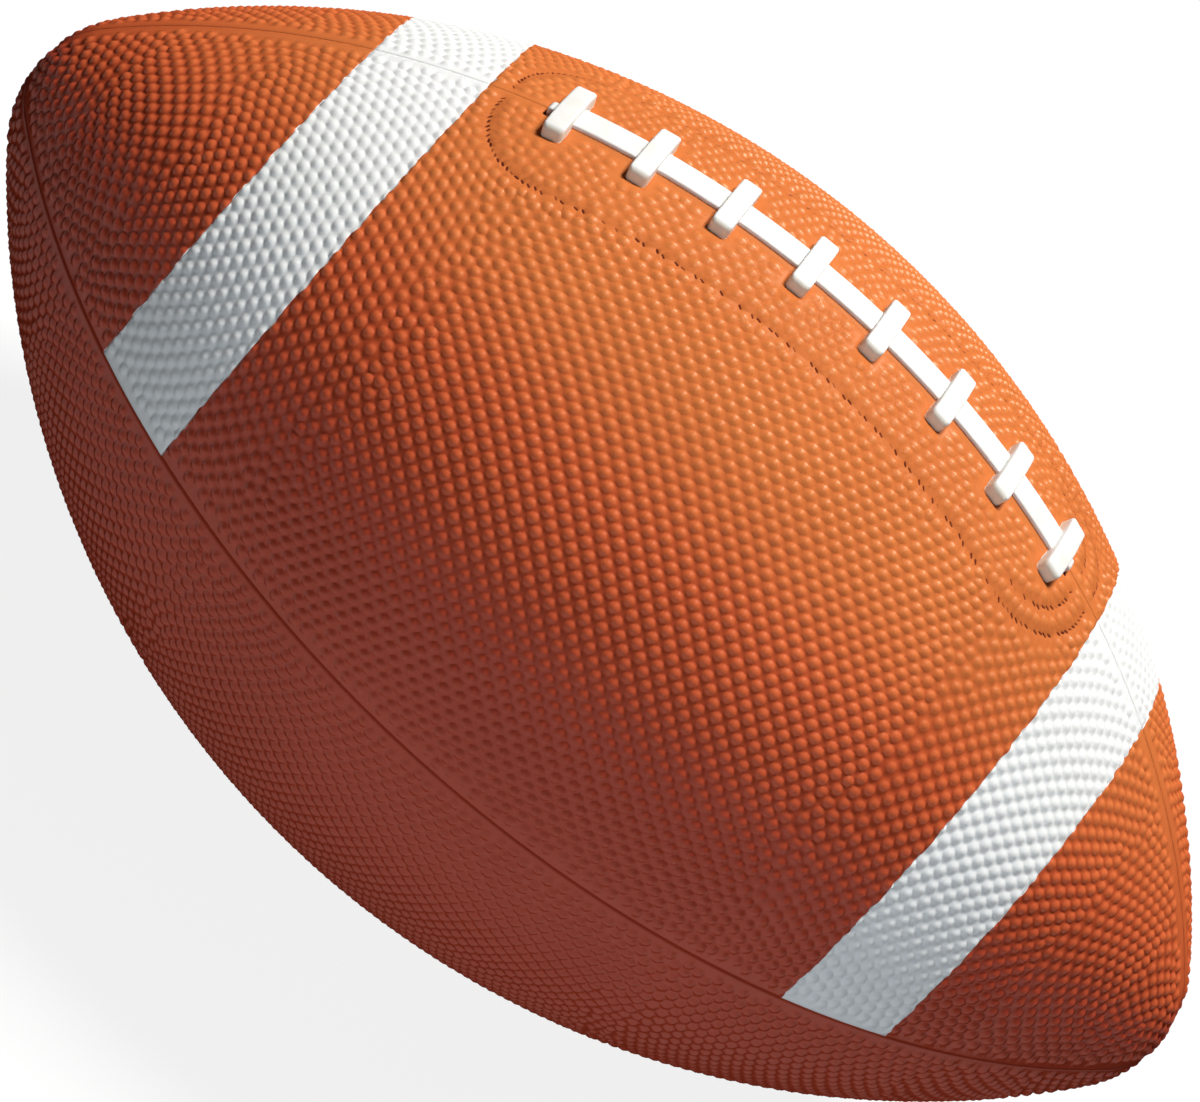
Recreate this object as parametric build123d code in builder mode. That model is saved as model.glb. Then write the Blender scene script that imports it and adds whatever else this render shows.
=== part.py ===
from build123d import *
import math
import os

# American football of moulded rubber, in millimetres.
# The origin is the middle of the ball, +X runs along it, +Z goes up through the laces
# and -Y is the front, so the four seams lie at the top, front, bottom and rear.

# Ball outline: a belly arc and a nose arc at each end, turned about the long axis
ball_length = 293.0
ball_diameter = 165.8
nose_radius = 25.4

# Wall, from the outside in, with the glue line between one layer and the next
cover_thickness = 1.5
carcass_thickness = 0.6
winding_thickness = 0.4
bladder_thickness = 0.7
bond_gap = 0.05

# Seams between the four cover panels
seam_gap = 0.1
groove_width = 1.2
groove_depth = 0.7

# Laces: a spine along the top seam, crossed by loops
loop_count = 8
loop_pitch = 17.9
loop_span = 18.0
loop_width = 4.3
loop_thickness = 1.3
loop_rounding = 1.2
spine_width = 7.0
spine_thickness = 1.0
spine_tail = 1.9
spine_tail_width = 3.0
spine_rounding = 0.8
lace_clearance = 0.15

# Patch under the laces, which holds their legs
backing_end_margin = 8.65
backing_width = 46.0
backing_corner_radius = 18.0
backing_thickness = 0.5

# White half stripes, set into the two upper panels
stripe_margin = 3.2
stripe_width = 21.0
stripe_thickness = 0.5

# Valve, in the middle of the rear lower panel
valve_angle = 225.0
valve_recess = 0.4
housing_diameter = 11.0
housing_depth = 16.0
flange_diameter = 26.0
flange_thickness = 1.2
plug_diameter = 6.0
plug_head_diameter = 8.4
plug_head_thickness = 1.2
plug_tip = 3.0
plug_clearance = 0.05
needle_bore_diameter = 2.0
needle_lead_in = 0.4
valve_hole_clearance = 0.1

# Cutting tools reach this far past what they cut
cut_margin = 2.0

quarter_turn = 90.0

# Sizes that follow from those above
half_length = ball_length / 2
belly_height = ball_diameter / 2
nose_center = half_length - nose_radius
belly_radius = (nose_center**2 + belly_height**2 - nose_radius**2) / (2 * (belly_height - nose_radius))
belly_drop = belly_radius - belly_height
nose_angle = math.degrees(math.atan2(belly_drop, nose_center))

carcass_depth = cover_thickness + bond_gap
winding_depth = carcass_depth + carcass_thickness + bond_gap
bladder_depth = winding_depth + winding_thickness + bond_gap
wall_depth = bladder_depth + bladder_thickness

spine_top = bond_gap + spine_thickness
loop_under = spine_top + lace_clearance
loop_top = loop_under + loop_thickness
last_loop = (loop_count - 1) / 2 * loop_pitch
strip_end = last_loop + loop_width / 4
spine_end = last_loop + loop_width / 2 + spine_tail
spine_leg_depth = cover_thickness - lace_clearance

seam_angles = {
    "top_front": 0.0,
    "bottom_front": quarter_turn,
    "bottom_rear": 2 * quarter_turn,
    "top_rear": 3 * quarter_turn,
}
striped_panels = {"front": "top_front", "rear": "top_rear"}
ball_ends = {"left": -1, "right": 1}


def seam_plane(angle):
    """Half plane through the long axis, turned from the top towards the front by angle."""
    turn = math.radians(angle)
    return Plane((0, 0, 0), x_dir=(1, 0, 0), z_dir=(0, -math.cos(turn), -math.sin(turn)))


def crown_point(along, height):
    """Point over the top seam, by its distance along the crown and its height above it."""
    turn = along / belly_radius
    reach = belly_radius + height
    return (reach * math.sin(turn), reach * math.cos(turn) - belly_drop)


def half_outline(depth):
    """Half of the ball's lengthwise section, taken in by depth and closed along the axis."""
    CenterArc((nose_center, 0), nose_radius - depth, 0, nose_angle)
    CenterArc((0, -belly_drop), belly_radius - depth, nose_angle, 2 * (quarter_turn - nose_angle))
    CenterArc((-nose_center, 0), nose_radius - depth, 2 * quarter_turn - nose_angle, nose_angle)
    Line((depth - half_length, 0), (half_length - depth, 0))


def layer_section(outer_depth, inner_depth):
    """Half section of one layer of the wall, between two depths below the cover's surface."""
    with BuildSketch() as section:
        with BuildLine():
            half_outline(outer_depth)
        make_face()
        with BuildLine():
            half_outline(inner_depth)
        make_face(mode=Mode.SUBTRACT)
    return section.sketch


def seam_rings(depth, width):
    """Rings along all four seams that reach from outside the cover to a depth below it."""
    with BuildPart() as rings:
        for plane in (Plane.XZ, Plane.XY):
            with BuildSketch(plane):
                add(layer_section(-cut_margin, depth))
                mirror(about=Plane.XZ)
            extrude(amount=width / 2, both=True)
    return rings.part


def save(piece, name):
    """Label a finished piece and write it."""
    piece.part.label = name
    export_step(piece.part, f"parts/{name}.step")


os.makedirs("parts", exist_ok=True)

# Valve axis, with the plane at the cover's surface and its normal pointing out
valve_turn = math.radians(valve_angle)
valve_axis = Vector(0, -math.sin(valve_turn), math.cos(valve_turn))
valve_plane = Plane(valve_axis * belly_height, x_dir=(1, 0, 0), z_dir=valve_axis)
valve_face = valve_plane.offset(-valve_recess)
valve_outside = valve_plane.offset(cut_margin)

with BuildPart() as valve_hole:
    with BuildSketch(valve_outside):
        Circle(housing_diameter / 2 + valve_hole_clearance)
    extrude(amount=-(cut_margin + wall_depth + cut_margin))

# Cuts along the seams: a groove in the cover, the gap between panels, and the stripes' ends
groove_cut = seam_rings(groove_depth, groove_width)
parting_cut = seam_rings(cover_thickness + cut_margin, seam_gap)
stripe_end_cut = seam_rings(cover_thickness, groove_width)

# Places of the loops: planes across the laces, square to the crown, from left to right
loop_places = [(index - (loop_count - 1) / 2) * loop_pitch for index in range(loop_count)]
loop_planes = []
cross_radii = []
for place in loop_places:
    turn = place / belly_radius
    x, z = crown_point(place, 0)
    loop_planes.append(Plane((x, 0, z), x_dir=(0, 1, 0), z_dir=(math.cos(turn), 0, -math.sin(turn))))
    cross_radii.append(belly_radius - belly_drop / math.cos(turn))


def leg_bottom(cross_radius):
    """Level of a loop leg's lower end, measured from the crown."""
    sag = cross_radius - math.sqrt(cross_radius**2 - (loop_span / 2) ** 2)
    return lace_clearance - cover_thickness - sag


# Slots for the legs of the loops and the tails of the spine
with BuildPart() as lace_slots:
    for plane, cross_radius in zip(loop_planes, cross_radii):
        with BuildSketch(plane):
            slot_low = leg_bottom(cross_radius) - cut_margin
            slot_height = loop_top - slot_low
            with GridLocations(loop_span - loop_thickness, 0, 2, 1):
                with Locations((0, slot_low)):
                    Rectangle(
                        loop_thickness + 2 * lace_clearance,
                        slot_height,
                        align=(Align.CENTER, Align.MIN),
                    )
        extrude(amount=loop_width / 2 + lace_clearance, both=True)
    for end in ball_ends.values():
        with BuildSketch(Plane.XZ):
            with BuildLine():
                Polyline(
                    crown_point(end * (spine_end - spine_thickness - lace_clearance), spine_top),
                    crown_point(end * (spine_end + lace_clearance), spine_top),
                    crown_point(end * (spine_end + lace_clearance), -cover_thickness - cut_margin),
                    crown_point(
                        end * (spine_end - spine_thickness - lace_clearance),
                        -cover_thickness - cut_margin,
                    ),
                    close=True,
                )
            make_face()
        extrude(amount=spine_tail_width / 2 + lace_clearance, both=True)

# Lace backing, a rounded patch in the underside of the two upper panels
backing_reach = crown_point(spine_end + backing_end_margin, 0)[0]
with BuildPart() as lace_backing:
    with BuildSketch(Plane.XZ):
        add(layer_section(cover_thickness - backing_thickness, cover_thickness))
    revolve(axis=Axis.X)
    with BuildSketch(Plane.XY):
        RectangleRounded(2 * backing_reach, backing_width, backing_corner_radius)
    extrude(amount=belly_height, mode=Mode.INTERSECT)
    add(lace_slots.part, mode=Mode.SUBTRACT)
save(lace_backing, "lace_backing")

with BuildPart() as backing_pocket:
    with BuildSketch(Plane.XZ):
        add(layer_section(cover_thickness - backing_thickness - bond_gap, cover_thickness + cut_margin))
    revolve(axis=Axis.X)
    with BuildSketch(Plane.XY):
        RectangleRounded(
            2 * (backing_reach + lace_clearance),
            backing_width + 2 * lace_clearance,
            backing_corner_radius + lace_clearance,
        )
    extrude(amount=belly_height, mode=Mode.INTERSECT)

# Stripes, and the recess that each pair sits in
stripe_inner = backing_reach + stripe_margin
stripe_middle = stripe_inner + stripe_width / 2

with BuildPart() as stripe_recess:
    for end in ball_ends.values():
        with BuildSketch(Plane.XZ):
            add(layer_section(-cut_margin, stripe_thickness + bond_gap))
            with Locations((end * stripe_middle, 0)):
                Rectangle(stripe_width + 2 * bond_gap, ball_diameter, mode=Mode.INTERSECT)
        revolve(axis=Axis.X)

for row, panel_name in striped_panels.items():
    for side, end in ball_ends.items():
        with BuildPart() as stripe:
            with BuildSketch(seam_plane(seam_angles[panel_name])):
                add(layer_section(0, stripe_thickness))
                with Locations((end * stripe_middle, 0)):
                    Rectangle(stripe_width, ball_diameter, mode=Mode.INTERSECT)
            revolve(axis=Axis.X, revolution_arc=quarter_turn)
            add(stripe_end_cut, mode=Mode.SUBTRACT)
        save(stripe, f"stripe_{row}_{side}")

# Cover panels, each a quarter of the cover
for panel_name, angle in seam_angles.items():
    with BuildPart() as panel:
        with BuildSketch(seam_plane(angle)):
            add(layer_section(0, cover_thickness))
        revolve(axis=Axis.X, revolution_arc=quarter_turn)
        add(groove_cut, mode=Mode.SUBTRACT)
        add(parting_cut, mode=Mode.SUBTRACT)
        if panel_name in striped_panels.values():
            add(stripe_recess.part, mode=Mode.SUBTRACT)
            add(backing_pocket.part, mode=Mode.SUBTRACT)
            add(lace_slots.part, mode=Mode.SUBTRACT)
        if angle < valve_angle < angle + quarter_turn:
            add(valve_hole.part, mode=Mode.SUBTRACT)
    save(panel, f"panel_{panel_name}")

# Carcass, thread winding and bladder, one inside the other
layers = {
    "carcass": (carcass_depth, carcass_thickness),
    "nylon_winding": (winding_depth, winding_thickness),
    "bladder": (bladder_depth, bladder_thickness),
}
for layer_name, (depth, thickness) in layers.items():
    with BuildPart() as layer:
        with BuildSketch(Plane.XZ):
            add(layer_section(depth, depth + thickness))
        revolve(axis=Axis.X)
        add(valve_hole.part, mode=Mode.SUBTRACT)
    save(layer, layer_name)

# Lace spine: a strip that ends under the outer loops, and a narrower tail that turns down at each end
with BuildPart() as lace_spine:
    with BuildSketch(Plane.XZ):
        with BuildLine():
            strip_turn = math.degrees(strip_end / belly_radius)
            for level in (spine_top, bond_gap):
                CenterArc((0, -belly_drop), belly_radius + level, quarter_turn - strip_turn, 2 * strip_turn)
            for end in ball_ends.values():
                Line(crown_point(end * strip_end, spine_top), crown_point(end * strip_end, bond_gap))
        make_face()
    extrude(amount=spine_width / 2, both=True)
    with BuildSketch(Plane.XZ) as tail_section:
        with BuildLine():
            tail_inner = spine_end - spine_thickness
            tail_turn = math.degrees(spine_end / belly_radius)
            bed_turn = math.degrees(tail_inner / belly_radius)
            CenterArc((0, -belly_drop), belly_radius + spine_top, quarter_turn - tail_turn, 2 * tail_turn)
            CenterArc((0, -belly_drop), belly_radius + bond_gap, quarter_turn - bed_turn, 2 * bed_turn)
            for end in ball_ends.values():
                Polyline(
                    crown_point(end * spine_end, spine_top),
                    crown_point(end * spine_end, -spine_leg_depth),
                    crown_point(end * tail_inner, -spine_leg_depth),
                    crown_point(end * tail_inner, bond_gap),
                )
        make_face()
        for end in ball_ends.values():
            corner = Vector(*crown_point(end * spine_end, spine_top))
            fillet(tail_section.vertices().sort_by_distance(corner)[0], spine_rounding)
    extrude(amount=spine_tail_width / 2, both=True)
save(lace_spine, "lace_spine")

# Lace loops, bars that lie on the cover and over the spine, with a leg at each end
for number, (plane, cross_radius) in enumerate(zip(loop_planes, cross_radii), start=1):
    with BuildPart() as loop:
        with BuildSketch(plane) as bar:
            low = leg_bottom(cross_radius)
            with Locations((0, low)):
                Rectangle(loop_span, loop_top - low, align=(Align.CENTER, Align.MIN))
            with Locations((0, -cross_radius)):
                Circle(cross_radius + loop_top, mode=Mode.INTERSECT)
            bed_width = loop_span - 2 * loop_thickness
            channel_width = spine_width + 2 * lace_clearance
            for width, level in ((bed_width, bond_gap), (channel_width, loop_under)):
                with BuildSketch(mode=Mode.PRIVATE) as hollow:
                    with Locations((0, low)):
                        Rectangle(width, loop_top - low, align=(Align.CENTER, Align.MIN))
                    with Locations((0, -cross_radius)):
                        Circle(cross_radius + level, mode=Mode.INTERSECT)
                add(hollow.sketch, mode=Mode.SUBTRACT)
            shoulders = bar.vertices().sort_by(Axis.X)
            outer_corners = [shoulders[:2].sort_by(Axis.Y)[-1], shoulders[-2:].sort_by(Axis.Y)[-1]]
            fillet(outer_corners, loop_rounding)
        extrude(amount=loop_width / 2, both=True)
    save(loop, f"lace_loop_{number}")

# Valve housing: a flange bonded inside the bladder and a stem that reaches the cover
flange_depth = wall_depth + bond_gap
with BuildPart() as valve_housing:
    with BuildSketch(Plane.XZ):
        add(layer_section(flange_depth, flange_depth + flange_thickness))
    revolve(axis=Axis.X)
    with BuildSketch(valve_plane):
        Circle(flange_diameter / 2)
    extrude(amount=-housing_depth, mode=Mode.INTERSECT)
    with BuildSketch(valve_face):
        Circle(housing_diameter / 2)
    extrude(amount=-housing_depth)
    with Locations(valve_face):
        CounterBoreHole(
            radius=plug_diameter / 2 + plug_clearance,
            counter_bore_radius=plug_head_diameter / 2 + plug_clearance,
            counter_bore_depth=plug_head_thickness + plug_clearance,
            depth=housing_depth,
        )
save(valve_housing, "valve_housing")

# Valve plug: a headed stem with the needle's bore, closed at its tip
with BuildPart() as valve_plug:
    with BuildSketch(valve_face):
        Circle(plug_head_diameter / 2)
    extrude(amount=-plug_head_thickness)
    with BuildSketch(valve_face):
        Circle(plug_diameter / 2)
    extrude(amount=-housing_depth)
    with Locations(valve_face):
        Hole(needle_bore_diameter / 2, depth=housing_depth - plug_tip)
    mouth = valve_plug.edges().filter_by(GeomType.CIRCLE).sort_by_distance(valve_face.origin)[0]
    chamfer(mouth, needle_lead_in)
save(valve_plug, "valve_plug")
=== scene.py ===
import math

import bmesh
import bpy
import numpy as np
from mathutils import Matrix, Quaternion, Vector
from mathutils.geometry import delaunay_2d_cdt


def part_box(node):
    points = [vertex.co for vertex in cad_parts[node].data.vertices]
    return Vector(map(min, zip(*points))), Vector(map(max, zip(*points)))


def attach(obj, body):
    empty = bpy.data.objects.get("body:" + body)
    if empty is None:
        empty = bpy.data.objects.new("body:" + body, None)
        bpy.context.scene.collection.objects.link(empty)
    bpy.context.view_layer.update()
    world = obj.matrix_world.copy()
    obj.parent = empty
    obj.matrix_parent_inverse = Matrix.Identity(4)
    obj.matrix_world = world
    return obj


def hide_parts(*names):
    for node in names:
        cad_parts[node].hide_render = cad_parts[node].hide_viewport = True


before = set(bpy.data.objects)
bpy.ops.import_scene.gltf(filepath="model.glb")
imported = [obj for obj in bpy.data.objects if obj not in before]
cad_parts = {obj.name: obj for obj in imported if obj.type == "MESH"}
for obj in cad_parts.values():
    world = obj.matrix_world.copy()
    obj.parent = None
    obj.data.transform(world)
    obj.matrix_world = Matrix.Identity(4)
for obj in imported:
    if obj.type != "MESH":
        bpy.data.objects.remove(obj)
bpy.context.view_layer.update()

# Looks of a moulded rubber football, in metres and in the frame of the solids:
# +X along the ball, +Z up through the laces, -Y at the front.
# A place on the cover is given by its run along the ball's outline from the middle,
# its turn about the long axis from the laces towards the front, and its height over the cover.

MM = 0.001
QUARTER = math.pi / 2
SEED = 7

# Ball outline, as in the solids: a belly arc and a nose arc at each end
HALF_LENGTH = 146.5 * MM
BELLY_HEIGHT = 82.9 * MM
NOSE_RADIUS = 25.4 * MM
COVER_THICKNESS = 1.5 * MM
NOSE_CENTER = HALF_LENGTH - NOSE_RADIUS
BELLY_RADIUS = (NOSE_CENTER**2 + BELLY_HEIGHT**2 - NOSE_RADIUS**2) / (2 * (BELLY_HEIGHT - NOSE_RADIUS))
BELLY_DROP = BELLY_RADIUS - BELLY_HEIGHT
NOSE_LEAN = math.atan2(NOSE_CENTER, BELLY_DROP)
BELLY_RUN = BELLY_RADIUS * NOSE_LEAN
HALF_RUN = BELLY_RUN + NOSE_RADIUS * (QUARTER - NOSE_LEAN)

# Steps of the table along the outline, and the smallest measures that count
TABLE_MARGIN = 0.2 * MM
TABLE_COUNT = 8001
SMALLEST_GAP = 1e-9
SMALLEST_AREA = 1e-12
CUT_TOLERANCE = 1e-7

# Pebbles: pitch, share of a square of that pitch that each takes, dome radius, height over the valleys
PEBBLE_PITCH = 2.82 * MM
PEBBLE_SHARE = 0.93
PEBBLE_RADIUS = 1.36 * MM
PEBBLE_HEIGHT = 0.66 * MM
PEBBLE_SHARPNESS = 1.1
PEBBLE_SPREAD = (0.94, 1.04)
PEBBLE_SHIFT = 0.08 * MM
VALLEY_LEVEL = -0.3 * MM
# Rings of a dome's points: share of its radius, and the most of the way to the next edge or middle
RINGS = ((0.48, 0.45), (0.9, 0.86))
# Share of the way to a plain point that a dome takes
DOME_ROOM = 0.95

# Seams: rows of points by distance from the seam and level; the top seam is closed tighter
GROOVE_EDGE = (0.14 * MM, -0.24 * MM)
TOP_GROOVE_EDGE = (0.015 * MM, -0.15 * MM)
GROOVE_LIP = (0.65 * MM, -0.12 * MM)
GROOVE_FLOOR = (0.05 * MM, -0.8 * MM)
PEBBLE_FROM_SEAM = 1.6 * MM
SEAM_STEP = 1.25 * MM
SEAM_STEP_SHARE = 0.45
SEAM_TIP_TURN = 0.1
NOSE_BAND_START = 103 * MM
NOSE_BAND_ROW = (1.8 * MM, -0.02 * MM)
PEBBLE_FROM_BAND = 3.0 * MM

# Laces, as in the solids
BAR_COUNT = 8
BAR_PITCH = 17.9 * MM
BAR_SPAN = 18.0 * MM
BAR_WIDTH = 4.3 * MM
BAR_TOP = 2.5 * MM
BAR_FOOT = -1.3 * MM
BAR_ROUNDING = 1.2 * MM
BAR_EDGE = 0.4 * MM
BAR_END_EDGE = 1.1 * MM
STRIP_WIDTH = 7.0 * MM
STRIP_LEVELS = (0.05 * MM, 1.05 * MM)
STRIP_EDGE = 0.42 * MM
TAIL_WIDTH = 3.0 * MM
TAIL_LENGTH = 1.9 * MM
TAIL_BEND = 0.8 * MM
TAIL_FOOT = -1.3 * MM
LAST_BAR = (BAR_COUNT - 1) / 2 * BAR_PITCH
STRIP_END = LAST_BAR + BAR_WIDTH / 4
TAIL_END = LAST_BAR + BAR_WIDTH / 2 + TAIL_LENGTH
TAIL_START = TAIL_END - TAIL_LENGTH
TAIL_LEADS = (3 * MM, 1.5 * MM)

# Points along the curves of the laces
BAR_CORNER_POINTS = 7
BAR_TOP_POINTS = 17
BAR_LEG_POINTS = 6
BAR_EDGE_POINTS = 6
STRIP_POINTS = 121
STRIP_EDGE_POINTS = 5
TAIL_BEND_POINTS = 8

# Cover beside the laces: rows by gap and level, and the places of the slits that take the tails
STRIP_BED = ((0.03 * MM, 0.3 * MM), (0.6 * MM, -0.02 * MM))
STRIP_BED_STEP = 1.5 * MM
BAR_BED = ((0.1 * MM, -0.3 * MM), (0.8 * MM, -0.1 * MM))
BAR_BED_STEP = 1.2 * MM
BAR_BED_START = STRIP_WIDTH / 2 + 2 * MM
BAR_BED_END_POINTS = 5
SLIT_RUNS = (TAIL_START + 0.4 * MM, TAIL_END - 0.7 * MM, TAIL_END + 0.1 * MM)
SLIT_GAPS = (0.15 * MM, 0.7 * MM)
SLIT_LEVEL = -1.15 * MM
SLIT_RIM_RUNS = (TAIL_START, TAIL_END - TAIL_LENGTH / 2, TAIL_END)
SLIT_RIM = (1.2 * MM, -0.12 * MM)
SLIT_TIP_RUN = TAIL_END + 0.7 * MM
SLIT_TIP = (0.4 * MM, -0.12 * MM)
PEBBLE_FROM_STRIP = 1.7 * MM
PEBBLE_FROM_TAIL = 1.5 * MM
PEBBLE_FROM_BAR = 1.3 * MM
PEBBLE_FROM_BAR_END = 1.4 * MM

# Moulded stitch marks in a rounded track round the laces, and a second row inside its ends
TRACK_HALF_RUN = 75.1 * MM
TRACK_HALF_WIDTH = 22.7 * MM
TRACK_CORNER = 18.0 * MM
TRACK_WAIST = 0.1
TRACK_INSET = 5.0 * MM
TRACK_INSET_START = 57 * MM
STITCH_PITCH = 1.4 * MM
STITCH_HALF_LENGTH = 0.55 * MM
STITCH_HALF_WIDTH = 0.3 * MM
# Shares of that half length at which the floor, the rim's shoulders and the rim's tips lie
STITCH_FLOOR_REACH = 0.7
STITCH_RIM_REACH = 0.75
STITCH_TIP_REACH = 1.35
STITCH_FLOOR = -0.85 * MM
STITCH_TILT = 0.55
STITCH_TILT_SPREAD = 0.35
STITCH_DEPTH_SPREAD = (0.45, 1.15)
STITCH_GROUP = 3
STITCH_KEPT = 0.88
STITCH_SHIFT = 0.22 * MM
STITCH_FROM_SEAM = 2.4 * MM
PEBBLE_FROM_STITCH = 0.75 * MM
TRACK_PEBBLE_HEIGHT = 0.72

# Valve face in the middle of the rear lower panel: rings by radius and level
VALVE_TURN = 2.5 * QUARTER
VALVE_HOLE = (5.7 * MM, -0.45 * MM)
VALVE_RINGS = ((6.3 * MM, 0.0), (7.2 * MM, 0.05 * MM), (8.1 * MM, -0.2 * MM))
VALVE_RING_POINTS = 40
PEBBLE_FROM_VALVE = 9.2 * MM

PANELS = ("panel_top_front", "panel_bottom_front", "panel_bottom_rear", "panel_top_rear")
STRIPED = {"panel_top_front": "stripe_front", "panel_top_rear": "stripe_rear"}
STRIPE_GAP = 0.06 * MM
STRIPE_SPAN = tuple(corner.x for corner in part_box("stripe_front_right"))
STRIPE_PEBBLE_HEIGHT = 0.8
RELAX_STEPS = 6
INNER_STEP = 7 * MM
INNER_FROM_VALVE = VALVE_HOLE[0] + 1 * MM

# Unrolled map of a panel: middle and half size of its outside, and the strips below it
FLAT_MIDDLE = (0.5, 0.56)
FLAT_HALF = (0.49, 0.43)
FLAT_INSIDE = 0.06
FLAT_CUT = 0.02
FLAT_STRIP_SHARE = 0.1

# Tones of the cover and its stripes by how far the cover faces up, from flank to crown; these are painted
# light and shade, in which the cover is paler and yellower at the crown and darker and redder down the
# flanks. Mottle and the painted valley shade multiply those, and the last tone is painted shade in the pits
# of the stitch marks and slits
COVER_TONES = {
    "crown": (0.685, 0.206, 0.0555, 1),
    "shoulder": (0.715, 0.148, 0.0465, 1),
    "flank": (0.445, 0.06, 0.0275, 1),
    "mottle": (0.95, 0.93, 0.93, 1),
    "crown_valley_shade": (0.9, 0.83, 0.83, 1),
    "shoulder_valley_shade": (0.72, 0.58, 0.62, 1),
    "flank_valley_shade": (1.0, 0.99, 0.99, 1),
    "pit_shade": (0.14, 0.025, 0.012, 1),
}
# The stripes' tones are painted light and shade as well: a little darker at the crown and paler down the
# flanks, with faint painted shade in the valleys
STRIPE_TONES = {
    "crown": (0.86, 0.87, 0.87, 1),
    "shoulder": (0.9, 0.92, 0.91, 1),
    "flank": (0.92, 0.94, 0.94, 1),
    "mottle": (0.98, 0.98, 0.98, 1),
    "crown_valley_shade": (0.98, 0.98, 0.98, 1),
    "shoulder_valley_shade": (0.99, 0.99, 0.99, 1),
    "flank_valley_shade": (1.0, 1.0, 1.0, 1),
    "pit_shade": (0.3, 0.28, 0.26, 1),
}
# Ranges of facing up over which the painted light and shade of these tones fade in
SHOULDER_FADE = (0.3, 0.75)
CROWN_FADE = (0.62, 0.92)
VALLEY_FADE = (0.28, 0.58)

# Ranges of relief, which is 0 in the valleys and 1 on the pebbles, for the painted valley shade, the painted
# shade in pits, and polish
VALLEY_SHADE_RELIEF = (-0.1, 0.6)
PIT_SHADE_RELIEF = (-0.3, -0.03)
POLISH_FADE = (0.15, 0.55)
VALLEY_POLISH = 0.1
PAINT_WAVER = 0.2 * MM
PAINT_BLUR = 0.08 * MM
RUBBER_GLOSS = 0.3
RUBBER_ROUGHNESS = (0.33, 0.41)
GLOSS_FADE = (0.3, 0.6)

# Noise by waves per metre and detail, the parts of its range that are spread out,
# and grain by strength and depth
PAINT_NOISE = (330, 1)
COVER_MOTTLE = (28, 4)
COVER_GRAIN = (3200, 2)
COVER_BUMP = (0.25, 0.05 * MM)
COVER_SHINE = (700, 2)
LACE_MOTTLE = (180, 3)
LACE_GRAIN = (1600, 3)
LACE_BUMP = (0.2, 0.06 * MM)
LACE_SHINE = (500, 2)
PLAIN_MOTTLE = (60, 4)
PLAIN_GRAIN_DETAIL = 3
PLAIN_BUMP = (0.3, 0.08 * MM)
PLAIN_SHINE = (400, 2)
THREAD_WAVES = (420, 2.5)
THREAD_BUMP = (0.6, 0.15 * MM)
THREAD_SHINE = (300, 2)
NOISE_ROUGHNESS = 0.55
NOISE_CORE = (0.35, 0.65)
NOISE_WIDE = (0.3, 0.7)
NOISE_HIGH = (0.45, 0.7)

# Looks of the laces, the thread and the nodes of plain rubber
LACE_WHITE = (0.83, 0.83, 0.82, 1)
LACE_CREAM = (0.8, 0.79, 0.75, 1)
LACE_END = (0.82, 0.78, 0.66, 1)
LACE_END_FADE = (0.3, 0.9)
LACE_ROUGHNESS = (0.48, 0.62)
THREAD_TONES = ((0.34, 0.31, 0.25, 1), (0.68, 0.65, 0.57, 1))
THREAD_ROUGHNESS = (0.5, 0.65)
PLAIN_ROUGHNESS_SPREAD = 0.06
# By node: name of the material, light and dark tone, grain in waves per metre, roughness
PLAIN_RUBBERS = {
    "lace_backing": ("backing_rubber", (0.16, 0.06, 0.03, 1), (0.1, 0.04, 0.02, 1), 900, 0.7),
    "carcass": ("carcass_rubber", (0.03, 0.026, 0.024, 1), (0.018, 0.016, 0.015, 1), 700, 0.75),
    "bladder": ("bladder_rubber", (0.022, 0.022, 0.024, 1), (0.012, 0.012, 0.013, 1), 500, 0.5),
    "valve_housing": ("valve_rubber", (0.05, 0.03, 0.025, 1), (0.03, 0.02, 0.018, 1), 1200, 0.6),
    "valve_plug": ("plug_rubber", (0.03, 0.03, 0.032, 1), (0.016, 0.016, 0.018, 1), 1500, 0.45),
}

# Camera, as fitted to the photograph
CAMERA_AZIMUTH = math.radians(-3.69)
CAMERA_ELEVATION = math.radians(37.27)
CAMERA_ROLL = math.radians(43.56)
CAMERA_DISTANCE = 875.3 * MM
CAMERA_ASIDE = (-0.565 * MM, 1.078 * MM)
CAMERA_LENS = 133.2

# Stage: a pale floor, a soft lamp over the laces and a weak one in front, which light the colours,
# and two lamps that only the gloss shows, one behind the ball and one overhead
FLOOR_SIZE = 12.0
FLOOR_DROP = 0.42 * MM
FLOOR_COLOUR = (0.16, 0.16, 0.16, 1)
FLOOR_ROUGHNESS = 0.9
FLOOR_GLOW = 0.85
WHITE = (1, 1, 1, 1)
WARM = (1.0, 0.98, 0.95)
COOL = (0.86, 0.93, 1.0)
AMBER = (1.0, 0.9, 0.72)
# By name: place, size, power, colour and the kind of light that it gives
LAMPS = {
    "key": ((0.04, 0.315, 1.18), 0.42, 19.1, WARM, "diffuse"),
    "sheen": ((0.1, 1.0, 0.75), 0.4, 13.0, AMBER, "glossy"),
    "glint": ((0.06, 0.12, 1.2), 0.4, 4.5, AMBER, "glossy"),
    "fill": ((0.08, -0.47, 0.03), 0.45, 0.93, COOL, "diffuse"),
}
ROOM_COLOUR = (*COOL, 1)
ROOM_STRENGTH = 0.03

rng = np.random.RandomState(SEED)


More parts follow.
